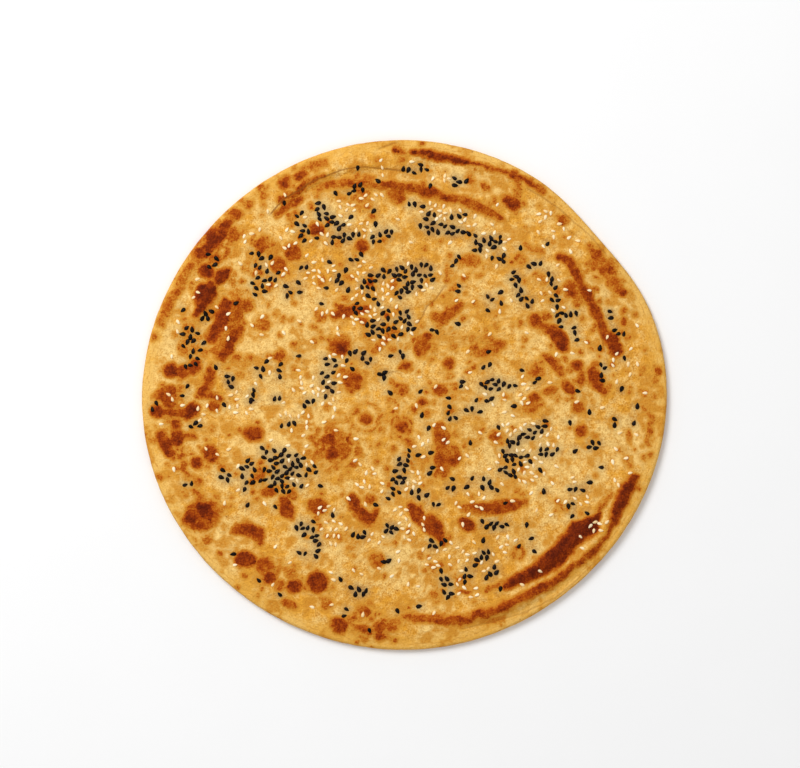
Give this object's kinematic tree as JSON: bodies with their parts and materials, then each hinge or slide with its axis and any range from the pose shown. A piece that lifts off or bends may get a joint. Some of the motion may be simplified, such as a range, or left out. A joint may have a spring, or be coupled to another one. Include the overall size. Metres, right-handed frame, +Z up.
{
  "type": "paratha flatbread",
  "caption": "Large round griddle flatbread with a coiled, folded rim and blistered brown crust, sprinkled with black and pale seeds; lies flat on a plate or board.",
  "frame": {"origin": "on the surface the bread lies on, under the middle of its box", "axes": "+Z up out of the seeded top face; +X to the right and +Y away from the diner as it is served"},
  "size_m": [0.2622, 0.2546, 0.0077],
  "materials": {
    "crust": "dry golden dough with a faint gleam of oil and brown griddle marks",
    "black_seed": "satin black seed coat",
    "pale_seed": "satin cream seed coat"
  },
  "bodies": {
    "root": {"paratha": "crust"}
  },
  "joints": []
}
